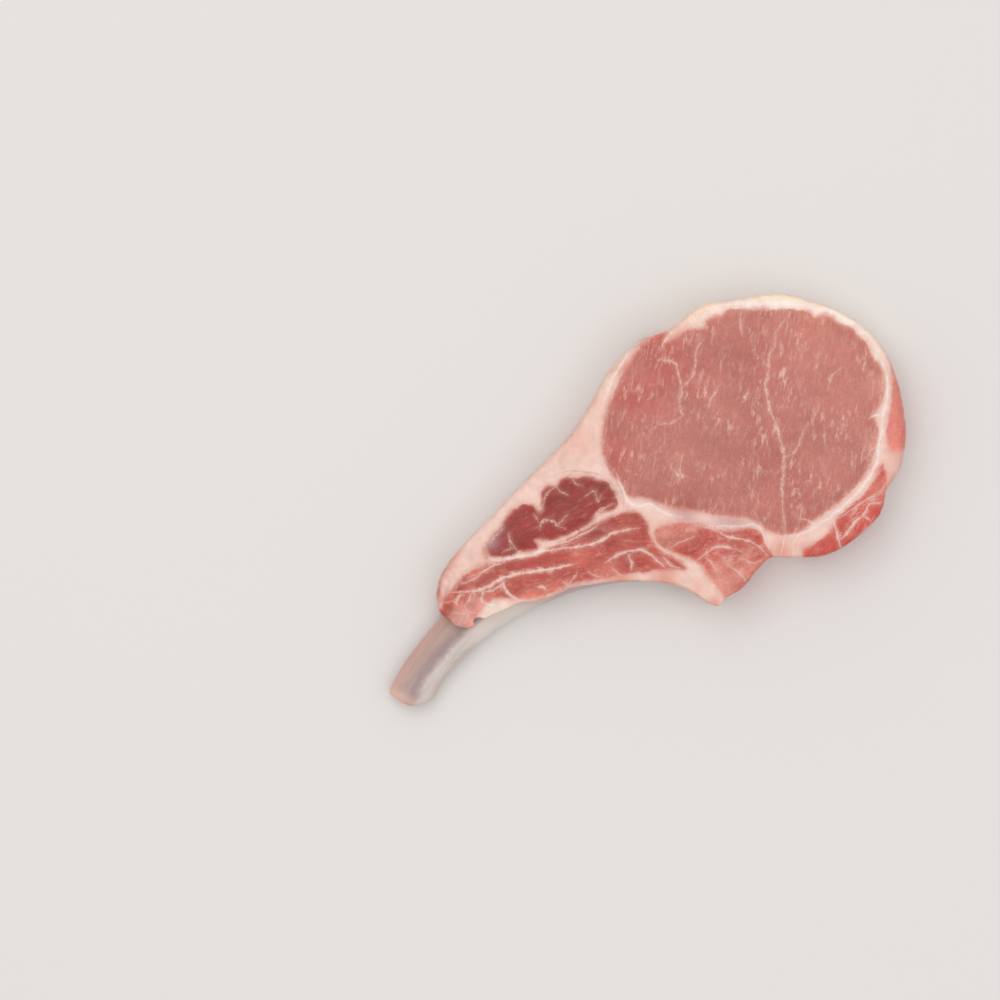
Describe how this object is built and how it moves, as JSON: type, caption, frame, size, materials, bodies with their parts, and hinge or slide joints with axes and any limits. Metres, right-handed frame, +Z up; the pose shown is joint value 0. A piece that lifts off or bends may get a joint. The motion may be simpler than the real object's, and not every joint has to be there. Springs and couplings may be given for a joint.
{
  "type": "raw pork chop",
  "caption": "Raw bone-in pork rib chop: a flat slab with a large pale round muscle, smaller dark and streaked muscles in white fat, and a bare curved rib end. It lies on its cut face.",
  "frame": {"origin": "centre of the chop's outer box in plan, at the level of the lower cut face it lies on", "axes": "+X along the chop's long way, from the bare rib tip towards the large pale muscle; +Y towards the thick outer fat; +Z up through the thickness, away from the face it lies on"},
  "size_m": [0.1549, 0.1239, 0.0199],
  "materials": {
    "pale_lean": "moist raw meat, pale greyish pink",
    "dark_lean": "moist raw meat, dark red",
    "red_lean": "moist raw meat, red with white streaks",
    "fat": "raw fat, cream to pinkish white",
    "bone": "scraped raw bone under a thin grey membrane"
  },
  "bodies": {
    "root": {"loin_eye": "pale_lean", "dark_muscle": "dark_lean", "rib_meat": "red_lean", "inner_muscle": "red_lean", "side_muscle": "red_lean", "fat_layer": "fat", "rib_bone": "bone"}
  },
  "joints": []
}
